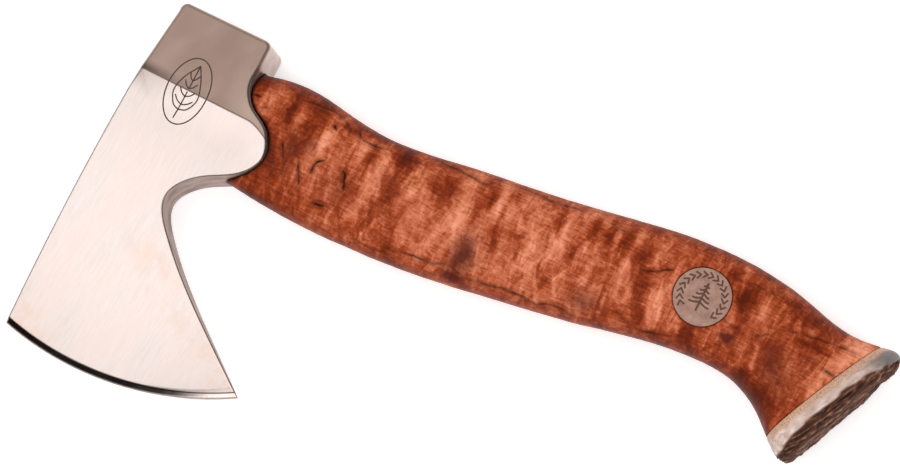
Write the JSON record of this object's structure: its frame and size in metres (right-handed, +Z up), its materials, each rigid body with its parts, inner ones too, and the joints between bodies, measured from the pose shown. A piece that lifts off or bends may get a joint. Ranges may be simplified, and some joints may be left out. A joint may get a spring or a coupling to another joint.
{
  "type": "hatchet",
  "caption": "Small bearded hatchet: ground steel head on a waisted curly wood handle that flares into a rough antler butt cap. Splits kindling and trims branches.",
  "frame": {"origin": "on the lower flat cheek of the head, straight below the middle of the eye, with the hatchet lying on its side", "axes": "+X along the handle to the butt, +Y from the cutting edge to the poll, +Z up through the head's thickness"},
  "size_m": [0.2809, 0.1336, 0.027],
  "materials": {
    "head_steel": "satin ground, finer polish on the bevel",
    "curly_birch": "oiled, satin",
    "wedge_wood": "plain",
    "wedge_steel": "plain",
    "antler": "sanded rim, rough natural end",
    "medallion_antler": "sanded, engraved",
    "dowel_wood": "plain"
  },
  "bodies": {
    "root": {"axe_head": "head_steel", "handle": "curly_birch", "eye_wedge": "wedge_wood", "steel_wedge": "wedge_steel", "butt_cap": "antler", "side_medallion": "medallion_antler", "butt_dowel_upper": "dowel_wood", "butt_dowel_lower": "dowel_wood"}
  },
  "joints": []
}
